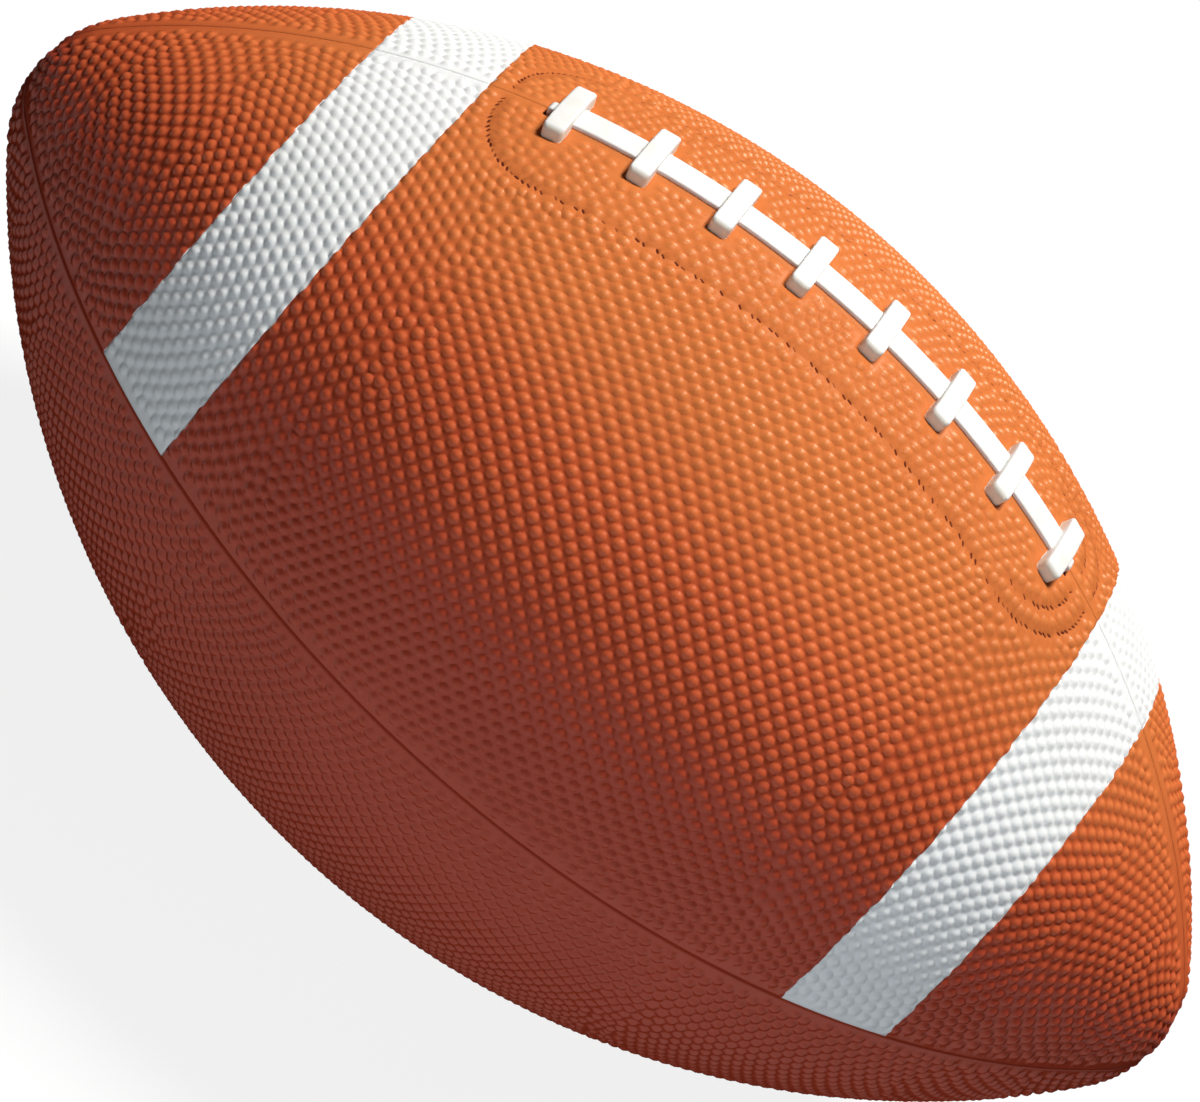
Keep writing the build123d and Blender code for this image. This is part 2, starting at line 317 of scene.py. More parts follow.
def meridian(run):
    """Axial place, radius and outward lean at a run along the ball's outline."""
    run = np.asarray(run, float)
    side, reach = np.sign(run), np.abs(run)
    on_belly = reach < BELLY_RUN
    lean = np.where(on_belly, reach / BELLY_RADIUS, NOSE_LEAN + (reach - BELLY_RUN) / NOSE_RADIUS)
    x = np.where(on_belly, BELLY_RADIUS * np.sin(lean), NOSE_CENTER + NOSE_RADIUS * np.sin(lean))
    r = np.where(on_belly, BELLY_RADIUS * np.cos(lean) - BELLY_DROP, NOSE_RADIUS * np.cos(lean))
    return side * x, r, side * lean


def radius_at(run):
    return meridian(run)[1]


def surface(run, turn, height):
    """Points over the cover."""
    x, r, lean = meridian(run)
    out = r + height * np.cos(lean)
    return np.stack([x + height * np.sin(lean), -out * np.sin(turn), out * np.cos(turn)], -1)


def facing_up(run, turn):
    """How far the cover faces up: 1 at the laces, 0 at the sides, -1 below."""
    return np.cos(meridian(run)[2]) * np.cos(turn)


# Tables along the outline: a map of the cover that keeps angles, and the area up to each place
RUN_TABLE = np.linspace(TABLE_MARGIN - HALF_RUN, HALF_RUN - TABLE_MARGIN, TABLE_COUNT)
RUN_STEP = RUN_TABLE[1] - RUN_TABLE[0]


def summed(values):
    """Running total of a table's values along the outline."""
    return np.concatenate([[0], np.cumsum((values[1:] + values[:-1]) / 2) * RUN_STEP])


MAP_TABLE = summed(1 / radius_at(RUN_TABLE))
AREA_TABLE = summed(4 * QUARTER * radius_at(RUN_TABLE))


def to_map(run, turn):
    return np.stack([np.interp(run, RUN_TABLE, MAP_TABLE), np.asarray(turn, float)], -1)


def from_map(spots):
    return np.interp(spots[:, 0], MAP_TABLE, RUN_TABLE), spots[:, 1]


def pebble_centres():
    """Pebbles spread evenly over the whole ball, in slowly turning rows."""
    count = int(AREA_TABLE[-1] / (PEBBLE_SHARE * PEBBLE_PITCH**2))
    order = np.arange(count)
    golden_turn = 2 * QUARTER * (3 - math.sqrt(5))
    run = np.interp((order + 0.5) / count * AREA_TABLE[-1], AREA_TABLE, RUN_TABLE)
    turn = order * golden_turn + rng.uniform(-1, 1, count) * PEBBLE_SHIFT / radius_at(run)
    run = run + rng.uniform(-1, 1, count) * PEBBLE_SHIFT
    return run, np.mod(turn, 4 * QUARTER)


def rows(run, turn, level):
    """Plain points: run, turn, level, pebble height, and 1 where pebbles may run up to it."""
    run, turn, level = np.broadcast_arrays(np.asarray(run, float), turn, level)
    none = np.zeros(run.shape)
    return np.stack([run, turn, level, none, none], -1).reshape(-1, 5)


def by_laces(along, across, level):
    """Plain points by their run and their distance round the cover from the top seam."""
    turn = np.mod(np.asarray(across) / radius_at(along), 4 * QUARTER)
    return rows(along, turn, level)


def seam_runs():
    """Places along a seam, closer together towards the noses."""
    tip = HALF_RUN - GROOVE_EDGE[0] / math.sin(QUARTER / 2)
    runs = [0.0]
    while runs[-1] < tip:
        runs.append(runs[-1] + min(SEAM_STEP, SEAM_STEP_SHARE * float(radius_at(runs[-1]))))
    half = np.array(runs) * tip / runs[-1]
    return np.concatenate([-half[:0:-1], half])


def seam_turn(run, distance):
    """Turn away from a seam at which the cover is that far from the seam's plane."""
    return np.arcsin(np.minimum(distance / radius_at(run), math.sin(QUARTER / 2)))


def panel_edge(low, distance, level):
    """Closed row of points round a panel, beside its two seams."""
    runs = seam_runs()
    sides = []
    for seam, heading in ((low, 1), (low + QUARTER, -1)):
        gap, height = distance, level
        if seam in (0, 4 * QUARTER):
            gap = min(distance, TOP_GROOVE_EDGE[0])
            height = level if level < GROOVE_EDGE[1] else TOP_GROOVE_EDGE[1]
        away = seam_turn(runs, gap)
        away[[0, -1]] = QUARTER / 2
        sides.append(rows(runs, seam + heading * away, height))
    return np.concatenate([sides[0], sides[1][-2:0:-1]])


def seam_rows(low):
    """Lips beside the two seams, and a smooth band by the top seam near the noses."""
    runs = seam_runs()
    middles = (runs[1:] + runs[:-1]) / 2
    found = []
    for distance, level, start in ((*GROOVE_LIP, 0.0), (*NOSE_BAND_ROW, NOSE_BAND_START)):
        away = seam_turn(middles, distance)
        kept = (away < QUARTER / 2 - SEAM_TIP_TURN) & (np.abs(middles) >= start)
        if start == 0 or low == 0:
            found.append(rows(middles[kept], low + away[kept], level))
        if start == 0 or low == 3 * QUARTER:
            found.append(rows(middles[kept], low + QUARTER - away[kept], level))
    return np.concatenate(found)


def track_quarter(half_run, half_width, corner):
    """Places and headings of stitches along a quarter of a track, in groups along its side."""
    side, bend, end = half_run - corner, QUARTER * corner, half_width - corner
    travel = np.arange(STITCH_PITCH / 2, side + bend + end, STITCH_PITCH)
    angle = np.clip((travel - side) / corner, 0, QUARTER)
    along = np.minimum(travel, side) + corner * np.sin(angle)
    across = end + corner * np.cos(angle) - np.maximum(travel - side - bend, 0)
    across = across * (1 - TRACK_WAIST * np.cos(QUARTER * np.minimum(along / half_run, 1)) ** 2)
    kept = (angle > 0) | (np.arange(len(travel)) % STITCH_GROUP > 0)
    return along[kept], across[kept], -angle[kept]


def stitches(front):
    """Stitch marks on one side of the laces: run, distance from the top seam and heading."""
    outer = np.stack(track_quarter(TRACK_HALF_RUN, TRACK_HALF_WIDTH, TRACK_CORNER))
    shrunk = (size - TRACK_INSET for size in (TRACK_HALF_RUN, TRACK_HALF_WIDTH, TRACK_CORNER))
    inner = np.stack(track_quarter(*shrunk))
    inner = inner[:, inner[0] > TRACK_INSET_START]
    outer, inner = (marks[:, marks[1] > STITCH_FROM_SEAM] for marks in (outer, inner))
    other_end = outer * [[-1], [1], [-1]]
    along, across, heading = np.concatenate([outer, inner, other_end], 1)
    heading = heading + STITCH_TILT
    heading = heading + rng.uniform(-1, 1, len(along)) * STITCH_TILT_SPREAD
    across = across + rng.uniform(-1, 1, len(along)) * STITCH_SHIFT
    kept = rng.uniform(0, 1, len(along)) < STITCH_KEPT
    side = 1 if front else -1
    return along[kept], side * across[kept], side * heading[kept]


def stitch_rows(marks):
    """Pits of the stitch marks: a floor line and a rim round it."""
    along, across, heading = marks
    ahead, aside = np.cos(heading), np.sin(heading)
    width = STITCH_HALF_WIDTH
    end = STITCH_FLOOR_REACH * STITCH_HALF_LENGTH
    shoulder = STITCH_RIM_REACH * STITCH_HALF_LENGTH
    tip = STITCH_TIP_REACH * STITCH_HALF_LENGTH
    floor = [(-end, 0), (0, 0), (end, 0)]
    rim = [(u, v) for u in (shoulder, -shoulder, 0) for v in (width, -width)]
    rim += [(tip, 0), (-tip, 0)]
    found = []
    depth = STITCH_FLOOR * rng.uniform(*STITCH_DEPTH_SPREAD, len(along))
    for spots, level in ((floor, depth), (rim, VALLEY_LEVEL)):
        for u, v in spots:
            found.append(by_laces(along + u * ahead - v * aside, across + u * aside + v * ahead, level))
    found = np.concatenate(found)
    found[:, 4] = 1
    return found


def bar_places():
    return (np.arange(BAR_COUNT) - (BAR_COUNT - 1) / 2) * BAR_PITCH


def lace_bed(front):
    """Points of the cover beside the strip, round the bars and at the tails."""
    side = 1 if front else -1
    found = []
    beside = np.arange(-STRIP_END, STRIP_END, STRIP_BED_STEP)
    for gap, level in STRIP_BED:
        found.append(by_laces(beside, side * (STRIP_WIDTH / 2 + gap), level))
    for place in bar_places():
        for gap, level in BAR_BED:
            reach = BAR_WIDTH / 2 + gap
            across = np.arange(BAR_BED_START, BAR_SPAN / 2, BAR_BED_STEP)
            for hand in (-1, 1):
                found.append(by_laces(place + hand * reach, side * across, level))
            ends = place + np.linspace(-reach, reach, BAR_BED_END_POINTS)
            found.append(by_laces(ends, side * (BAR_SPAN / 2 + gap), level))
    for hand in (-1, 1):
        for gap in SLIT_GAPS:
            slit = hand * np.array(SLIT_RUNS)
            found.append(by_laces(slit, side * (TAIL_WIDTH / 2 + gap), SLIT_LEVEL))
        for runs, (gap, level) in ((SLIT_RIM_RUNS, SLIT_RIM), (SLIT_TIP_RUN, SLIT_TIP)):
            found.append(by_laces(hand * np.array(runs), side * (TAIL_WIDTH / 2 + gap), level))
    return np.concatenate(found)


def valve_rows():
    """Rings of points round the hole for the valve's face."""
    angle = np.arange(VALVE_RING_POINTS) * 4 * QUARTER / VALVE_RING_POINTS
    found = []
    for radius, level in (VALVE_HOLE, *VALVE_RINGS):
        run = radius * np.cos(angle)
        found.append(rows(run, VALVE_TURN + radius * np.sin(angle) / radius_at(run), level))
        angle = angle + 2 * QUARTER / VALVE_RING_POINTS
    return np.concatenate(found)


def clear_of_laces(run, across):
    """True where a pebble is clear of the noses' smooth band, the strip and the bars."""
    reach = np.abs(run)
    clear = (across > PEBBLE_FROM_BAND) | (reach < NOSE_BAND_START)
    clear &= (across > STRIP_WIDTH / 2 + PEBBLE_FROM_STRIP) | (reach > TAIL_END + PEBBLE_FROM_TAIL)
    for place in bar_places():
        beside = np.abs(run - place) > BAR_WIDTH / 2 + PEBBLE_FROM_BAR
        clear &= beside | (across > BAR_SPAN / 2 + PEBBLE_FROM_BAR_END)
    return clear


def clear_of_stitches(run, across, marks):
    """True where a pebble is clear of all stitch marks."""
    along, aside, heading = marks
    u = run[:, None] - along
    v = across[:, None] - np.abs(aside)
    heading = heading * np.sign(aside)
    c, s = np.cos(heading), np.sin(heading)
    reach = np.clip(u * c + v * s, -STITCH_HALF_LENGTH, STITCH_HALF_LENGTH)
    return np.hypot(u - reach * c, v - reach * s).min(1) > PEBBLE_FROM_STITCH


def lowered(height, run, across):
    """Pebble heights, less inside the stitch track and on the stripes."""
    in_track = (np.abs(run) < TRACK_HALF_RUN) & (across < TRACK_HALF_WIDTH)
    height = np.where(in_track, height * TRACK_PEBBLE_HEIGHT, height)
    reach = np.abs(meridian(run)[0])
    on_stripe = (reach > STRIPE_SPAN[0]) & (reach < STRIPE_SPAN[1])
    return np.where(on_stripe, height * STRIPE_PEBBLE_HEIGHT, height)


def panel_pebbles(low, pebbles, marks):
    """One panel's pebbles that are clear of seams, laces, stitch marks and valve."""
    run, turn = pebbles
    inside = (turn > low) & (turn < low + QUARTER)
    run, turn = run[inside], turn[inside]
    radius = radius_at(run)
    near = radius * np.sin(turn - low)
    far = radius * np.sin(low + QUARTER - turn)
    kept = np.minimum(near, far) > PEBBLE_FROM_SEAM
    height = PEBBLE_HEIGHT * rng.uniform(*PEBBLE_SPREAD, len(run))
    if marks is not None:
        across = radius * np.where(low == 0, turn, 4 * QUARTER - turn)
        kept &= clear_of_laces(run, across) & clear_of_stitches(run, across, marks)
        height = lowered(height, run, across)
    if low < VALVE_TURN < low + QUARTER:
        kept &= np.hypot(run, radius * (turn - VALVE_TURN)) > PEBBLE_FROM_VALVE
    level = np.full(len(run), VALLEY_LEVEL)
    return np.stack([run, turn, level, height, np.zeros(len(run))], -1)[kept]


def triangulate(spots, loops):
    """Triangles between points of the map, inside the first loop and outside the others."""
    edges = [(a, b) for loop in loops for a, b in zip(loop, [*loop[1:], loop[0]])]
    found = delaunay_2d_cdt([Vector(p) for p in spots.tolist()], edges, [], 1, SMALLEST_GAP)
    source = np.array([numbers[0] for numbers in found[3]])
    tris = source[np.array(found[2])]
    for hole in loops[1:]:
        tris = tris[~np.isin(tris, hole).all(1)]
    return tris


def relax(spots, loops, free):
    """Even the spacing of the free points, each towards the middle of what surrounds it."""
    for _ in range(RELAX_STEPS):
        tris = triangulate(spots, loops)
        corners = spots[tris]
        sides = corners[:, 1:] - corners[:, :1]
        area = np.abs(sides[:, 0, 0] * sides[:, 1, 1] - sides[:, 0, 1] * sides[:, 1, 0])
        weight = np.zeros(len(spots))
        total = np.zeros_like(spots)
        for corner in range(3):
            np.add.at(weight, tris[:, corner], area)
            np.add.at(total, tris[:, corner], area[:, None] * corners.mean(1))
        spots = np.where(free[:, None], total / np.maximum(weight, SMALLEST_AREA)[:, None], spots)
    return spots


class Swelling:
    """Raises a dome at each pebble, by splitting the triangles round it."""

    def __init__(self, spots, tris, level, height, soft):
        self.spots, self.tris, self.level, self.height, self.soft = spots, tris, level, height, soft
        self.domed = height > 0
        self.scale = radius_at(from_map(spots)[0])
        sides = np.sort(np.concatenate([tris[:, [0, 1]], tris[:, [1, 2]], tris[:, [2, 0]]]), 1)
        self.edges, edge_of = np.unique(sides, axis=0, return_inverse=True)
        self.edge_of = edge_of.reshape(3, -1).T
        self.dome_radius = self.dome_radii()
        self.out_spots = [spots]
        self.out_levels = [level + height + self.lift()]
        self.total = len(spots)
        self.faces = []

    def span(self, a, b):
        """Distance on the cover between points of the map."""
        return np.linalg.norm(self.spots[a] - self.spots[b], axis=-1) * self.scale[a]

    def dome_radii(self):
        """Dome radius of each point, less beside a plain point."""
        radius = np.full(len(self.spots), PEBBLE_RADIUS)
        a, b = self.edges.T
        gap = self.span(a, b)
        free = (self.domed | self.soft)[[a, b]].all(0)
        room = np.where(free, PEBBLE_RADIUS, gap * DOME_ROOM)
        np.minimum.at(radius, a, room)
        np.minimum.at(radius, b, room)
        return radius

    def lift(self):
        """Height of the domes beside each soft point that isn't the floor of a pit."""
        total = np.zeros(len(self.spots))
        for a, b in (self.edges.T, self.edges.T[::-1]):
            np.maximum.at(total, a, self.rise(self.spots[a], [b]))
        return np.where(self.soft & (self.level >= VALLEY_LEVEL), total, 0)

    def rise(self, spots, near):
        """Height of the highest dome over some points, given the pebbles near them."""
        best = np.zeros(len(spots))
        for v in near:
            away = np.linalg.norm(spots - self.spots[v], axis=-1) * self.scale[v] / self.dome_radius[v]
            cap = np.clip(1 - away**2, 0, 1) ** PEBBLE_SHARPNESS
            best = np.maximum(best, cap * self.height[v])
        return best

    def put_points(self, spots, level, near):
        """Add points and give the number of the first one."""
        first = self.total
        self.out_spots.append(spots)
        self.out_levels.append(level + self.rise(spots, near))
        self.total += len(spots)
        return first

    def put_ring(self, ring, start, end, end_level, near):
        """Add points at one ring of the domes, on the way from start points to ends."""
        share, limit = RINGS[ring]
        gap = np.linalg.norm(end - self.spots[start], axis=-1) * self.scale[start]
        share = np.minimum(share * self.dome_radius[start] / np.maximum(gap, SMALLEST_GAP), limit)
        spots = self.spots[start] + (end - self.spots[start]) * share[:, None]
        level = self.level[start] + (end_level - self.level[start]) * share
        return self.put_points(spots, level, near)

    def put_faces(self, mask, *corners):
        self.faces.append(np.stack([c[mask] for c in corners], 1))

    def split(self):
        """Add the middles of edges and triangles, and the rings on the way to them."""
        ends, corners = list(self.edges.T), list(self.tris.T)
        middle = (self.spots[ends[0]] + self.spots[ends[1]]) / 2
        middle_level = (self.level[ends[0]] + self.level[ends[1]]) / 2
        heart = self.spots[self.tris].mean(1)
        heart_level = self.level[self.tris].mean(1)
        self.first_middle = self.put_points(middle, middle_level, ends)
        self.first_heart = self.put_points(heart, heart_level, corners)
        rings = range(len(RINGS))
        self.on_edge = [[self.put_ring(k, v, middle, middle_level, ends) for v in ends] for k in rings]
        self.on_spoke = [[self.put_ring(k, v, heart, heart_level, corners) for v in corners] for k in rings]

    def edge_rings(self, edge, start):
        """Numbers of the ring points on some edges, nearest to the given ends."""
        from_first = self.edges[edge, 0] == start
        return [np.where(from_first, *numbers) + edge for numbers in self.on_edge]

    def fill_corner(self, corner):
        """Add the faces at one corner of each triangle that has a dome."""
        number = np.arange(len(self.tris))
        g = self.first_heart + number
        a, b, c = (self.tris[:, (corner + step) % 3] for step in range(3))
        ab, ca = self.edge_of[:, corner], self.edge_of[:, (corner + 2) % 3]
        m_ab, m_ca = self.first_middle + ab, self.first_middle + ca
        p1, p2 = self.edge_rings(ab, a)
        o1, o2 = self.edge_rings(ca, a)
        q1, q2 = (numbers[corner] + number for numbers in self.on_spoke)
        dome = self.domed[a]
        for face in (
            (a, p1, q1), (p1, p2, q2), (p1, q2, q1), (p2, m_ab, g), (p2, g, q2),
            (a, q1, o1), (q1, q2, o2), (q1, o2, o1), (q2, g, m_ca), (q2, m_ca, o2),
        ):
            self.put_faces(dome, *face)
        alone = ~dome & self.domed[b] & self.domed[c]
        self.put_faces(alone, a, m_ab, g)
        self.put_faces(alone, a, g, m_ca)
        single = dome & ~self.domed[b] & ~self.domed[c]
        self.put_faces(single, b, c, g)
        self.put_faces(single, c, m_ca, g)
        self.put_faces(single, b, g, m_ab)

    def run(self):
        """Points on the map, their levels, the triangles, and each point's old number."""
        self.split()
        for corner in range(3):
            self.fill_corner(corner)
        self.put_faces(~self.domed[self.tris].any(1), *self.tris.T)
        used, faces = np.unique(np.concatenate(self.faces), return_inverse=True)
        spots, levels = np.concatenate(self.out_spots), np.concatenate(self.out_levels)
        return spots[used], levels[used], faces.reshape(-1, 3), used


def inner_points(low):
    """Even points for the inside of a panel, clear of its edges."""
    found = []
    for run in np.arange(-HALF_RUN + INNER_STEP, HALF_RUN - INNER_STEP / 2, INNER_STEP):
        width = float(radius_at(run)) * QUARTER
        count = int(width / INNER_STEP)
        if count > 1:
            found.append(rows(run, low + QUARTER * np.arange(1, count) / count, -COVER_THICKNESS))
    return np.concatenate(found)


def strip_faces(first_row, second_row):
    """Triangles between two closed rows of as many points."""
    a, b = np.array(first_row), np.array(second_row)
    a2, b2 = np.roll(a, -1), np.roll(b, -1)
    return np.concatenate([np.stack([a, b, b2], 1), np.stack([a, b2, a2], 1)])


class PanelMesh:
    """Points, faces, pebble relief and unrolled map of one closed panel."""

    def __init__(self, low, pebbles):
        self.low = low
        points, loops = self.outside(pebbles)
        spots = to_map(points[:, 0], points[:, 1])
        spots = relax(spots, loops, points[:, 3] > 0)
        tris = triangulate(spots, loops)
        spots, level, faces, used = Swelling(spots, tris, points[:, 2], points[:, 3], points[:, 4] > 0).run()
        run, turn = from_map(spots)
        self.points = surface(run, turn, level)
        self.relief = (level - VALLEY_LEVEL) / PEBBLE_HEIGHT
        self.upward = facing_up(run, turn)
        self.faces = faces
        self.unrolled = self.unroll(run, turn)
        self.outer_faces = len(faces)
        self.close([np.searchsorted(used, loop) for loop in loops])

    def outside(self, pebbles):
        """Points of the outside, and the numbers of those round its edge and the valve's hole."""
        low = self.low
        edge = panel_edge(low, *GROOVE_EDGE)
        blocks = [edge]
        loops = [list(range(len(edge)))]
        marks = None
        if low < VALVE_TURN < low + QUARTER:
            loops.append(list(range(len(edge), len(edge) + VALVE_RING_POINTS)))
            blocks.append(valve_rows())
        blocks.append(seam_rows(low))
        if low in (0, 3 * QUARTER):
            front = low == 0
            marks = stitches(front)
            blocks += [stitch_rows(marks), lace_bed(front)]
        blocks.append(panel_pebbles(low, pebbles, marks))
        return np.concatenate(blocks), loops

    def unroll(self, run, turn):
        """Flat place of each point, for baked textures."""
        reach = radius_at(run) * (turn - self.low - QUARTER / 2)
        u = FLAT_MIDDLE[0] + FLAT_HALF[0] * run / HALF_RUN
        v = FLAT_MIDDLE[1] + FLAT_HALF[1] * reach / (BELLY_HEIGHT * QUARTER / 2)
        return np.stack([u, v], -1)

    def grow(self, block):
        """Add plain points and give their numbers."""
        first = len(self.points)
        run, turn, level = block[:, :3].T
        self.points = np.concatenate([self.points, surface(run, turn, level)])
        self.relief = np.concatenate([self.relief, np.zeros(len(block))])
        self.upward = np.concatenate([self.upward, facing_up(run, turn)])
        self.unrolled = np.concatenate([self.unrolled, self.unroll(run, turn)])
        return np.arange(first, first + len(block))

    def close(self, loops):
        """Walls down the seams and the valve's hole, and a plain inside."""
        floor = self.grow(panel_edge(self.low, *GROOVE_FLOOR))
        rim = panel_edge(self.low, GROOVE_FLOOR[0], -COVER_THICKNESS)
        inside = self.grow(rim)
        filling = inner_points(self.low)
        walls = [strip_faces(loops[0], floor), strip_faces(floor, inside)]
        blocks, numbers, holes = [rim], [inside], [list(range(len(rim)))]
        if len(loops) > 1:
            hole = valve_rows()[:VALVE_RING_POINTS]
            hole[:, 2] = -COVER_THICKNESS
            bottom = self.grow(hole)
            walls.append(strip_faces(loops[1], bottom)[:, ::-1])
            holes.append(list(range(len(rim), len(rim) + len(hole))))
            blocks.append(hole)
            numbers.append(bottom)
            away = np.hypot(filling[:, 0], BELLY_HEIGHT * (filling[:, 1] - VALVE_TURN))
            filling = filling[away > INNER_FROM_VALVE]
        blocks.append(filling)
        numbers.append(self.grow(filling))
        block, number = np.concatenate(blocks), np.concatenate(numbers)
        tris = triangulate(to_map(block[:, 0], block[:, 1]), holes)
        walls.append(number[tris][:, ::-1])
        self.faces = np.concatenate([self.faces, *walls])

    def corner_map(self):
        """Flat place of each face corner, with the inside in a strip below the outside."""
        flat = self.unrolled[self.faces]
        inside = flat[self.outer_faces:, :, 1]
        flat[self.outer_faces:, :, 1] = FLAT_INSIDE + (inside - FLAT_MIDDLE[1]) * FLAT_STRIP_SHARE
        return flat


def turned_out(mesh):
    """Make the faces of a closed mesh look outwards."""
    work = bmesh.new()
    work.from_mesh(mesh)
    bmesh.ops.recalc_face_normals(work, faces=work.faces)
    work.to_mesh(mesh)
    work.free()


def new_object(name, data):
    """Put a new object in the scene."""
    thing = bpy.data.objects.new(name, data)
    bpy.context.scene.collection.objects.link(thing)
    return thing


def add_piece(name, mesh, material, body, nodes):
    """Put a finished mesh in the scene as a piece of the object."""
    mesh.polygons.foreach_set("use_smooth", np.ones(len(mesh.polygons), bool))
    mesh.materials.append(material)
    piece = new_object(name, mesh)
    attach(piece, body)
    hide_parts(*nodes)
    return piece


def panel_mesh(panel, name):
    mesh = bpy.data.meshes.new(name)
    mesh.from_pydata(panel.points.tolist(), [], panel.faces.tolist())
    for label, values in (("relief", panel.relief), ("upward", panel.upward)):
        mesh.attributes.new(label, "FLOAT", "POINT").data.foreach_set("value", values)
    mesh.uv_layers.new(name="OFBake").data.foreach_set("uv", panel.corner_map().ravel())
    turned_out(mesh)
    return mesh


def cut_zone(mesh, name, zones):
    """Copy of a panel's mesh between pairs of planes across the ball."""
    work = bmesh.new()
    work.from_mesh(mesh)
    planes = sorted({x for zone in zones for x in zone if abs(x) < HALF_LENGTH})
    for x in planes:
        everything = [*work.verts, *work.edges, *work.faces]
        plane = {"plane_co": (x, 0, 0), "plane_no": (1, 0, 0)}
        bmesh.ops.bisect_plane(work, geom=everything, dist=CUT_TOLERANCE, **plane)
    dropped = []
    for face in work.faces:
        x = face.calc_center_median().x
        if not any(low < x < high for low, high in zones):
            dropped.append(face)
    bmesh.ops.delete(work, geom=dropped, context="FACES")
    open_edges = [e for e in work.edges if e.is_boundary]
    filled = bmesh.ops.holes_fill(work, edges=open_edges, sides=0)["faces"]
    flat = work.loops.layers.uv["OFBake"]
    for face in filled:
        for loop in face.loops:
            place = loop.vert.co
            loop[flat].uv = (FLAT_MIDDLE[0] + place.y, FLAT_CUT + FLAT_STRIP_SHARE * place.z)
    bmesh.ops.triangulate(work, faces=filled)
    part = bpy.data.meshes.new(name)
    work.to_mesh(part)
    work.free()
    return part


def crown_frame(along):
    """Point on the crown, and the directions along it and up from it."""
    lean = along / BELLY_RADIUS
    return (
        surface(along, 0.0, 0.0),
        np.array([math.cos(lean), 0, -math.sin(lean)]),
        np.array([math.sin(lean), 0, math.cos(lean)]),
    )


def bar_outline(along):
    """Section of a bar: distance from the top seam and height over the crown."""
    cross_radius = BELLY_RADIUS - BELLY_DROP / math.cos(along / BELLY_RADIUS)
    big = cross_radius + BAR_TOP
    corner_x = BAR_SPAN / 2 - BAR_ROUNDING
    corner_z = math.sqrt((big - BAR_ROUNDING) ** 2 - corner_x**2) - cross_radius
    tilt = math.asin(corner_x / (big - BAR_ROUNDING))
    angle = np.linspace(0, QUARTER - tilt, BAR_CORNER_POINTS)
    right = np.stack([corner_x + BAR_ROUNDING * np.cos(angle), corner_z + BAR_ROUNDING * np.sin(angle)], 1)
    sweep = np.linspace(tilt, -tilt, BAR_TOP_POINTS)[1:-1]
    top = np.stack([big * np.sin(sweep), big * np.cos(sweep) - cross_radius], 1)
    left = right[::-1] * (-1, 1)
    legs = np.linspace(BAR_FOOT, corner_z, BAR_LEG_POINTS)[:-1]
    right_leg = np.stack([np.full_like(legs, BAR_SPAN / 2), legs], 1)
    left_leg = right_leg[::-1] * (-1, 1)
    return np.concatenate([right_leg, right, top, left, left_leg])


def outward(outline):
    """Unit directions out of a closed outline that runs anticlockwise."""
    ahead = np.roll(outline, -1, 0) - np.roll(outline, 1, 0)
    out = np.stack([ahead[:, 1], -ahead[:, 0]], 1)
    return out / np.linalg.norm(out, axis=1)[:, None]


def ring_faces(ring_count, size, first=0):
    """Quads between rings of points, and fans that close both ends."""
    faces = []
    for ring in range(ring_count - 1):
        for k in range(size):
            a, b = ring * size + k, ring * size + (k + 1) % size
            faces.append([first + a, first + b, first + b + size, first + a + size])
    start, end = first + ring_count * size, first + ring_count * size + 1
    last = first + (ring_count - 1) * size
    for k in range(size):
        faces.append([start, first + (k + 1) % size, first + k])
        faces.append([end, last + k, last + (k + 1) % size])
    return faces


def bar_mesh(name, along):
    """A lace bar: its section drawn along the laces, with rounded edges."""
    outline = bar_outline(along)
    out = outward(outline)
    origin, ahead, up = crown_frame(along)
    aside = np.array([0, 1, 0])
    edge = BAR_EDGE + (BAR_END_EDGE - BAR_EDGE) * np.abs(out[:, :1])
    rings = []
    for hand, start, end in ((-1, QUARTER, 0), (1, 0, QUARTER)):
        for angle in np.linspace(start, end, BAR_EDGE_POINTS):
            place = hand * (BAR_WIDTH / 2 - edge * (1 - math.sin(angle)))
            flat = outline - out * edge * (1 - math.cos(angle))
            rings.append(origin + ahead * place + flat[:, :1] * aside + flat[:, 1:] * up)
    ends = [ring.mean(0) for ring in (rings[0], rings[-1])]
    points = np.concatenate([*rings, np.array(ends)])
    mesh = bpy.data.meshes.new(name)
    mesh.from_pydata(points.tolist(), [], ring_faces(len(rings), len(outline)))
    turned_out(mesh)
    sidelong = np.concatenate([np.tile(np.abs(out[:, 0]), len(rings)), np.zeros(len(ends))])
    mesh.attributes.new("sidelong", "FLOAT", "POINT").data.foreach_set("value", sidelong)
    return mesh


def strap_section(width, thickness, edge):
    """Rounded rectangle, as distances across and through a strap."""
    angle = np.linspace(0, QUARTER, STRIP_EDGE_POINTS)
    corner = np.stack([np.cos(angle), np.sin(angle)], 1) * edge
    found = []
    for number, (sx, sz) in enumerate(((1, 1), (-1, 1), (-1, -1), (1, -1))):
        arc = corner if number % 2 == 0 else corner[::-1]
        found.append(arc * (sx, sz) + (sx * (width / 2 - edge), sz * (thickness / 2 - edge)))
    return np.concatenate(found)


def strap_rings(centres, ups, width, thickness, edge):
    """Points of a strap along a path in the plane of the top seam."""
    section = strap_section(width, thickness, edge)
    aside = np.array([0, 1, 0])
    rings = [c + section[:, :1] * aside + section[:, 1:] * u for c, u in zip(centres, ups)]
    return np.concatenate([*rings, np.array([centres[0], centres[-1]])]), len(section)


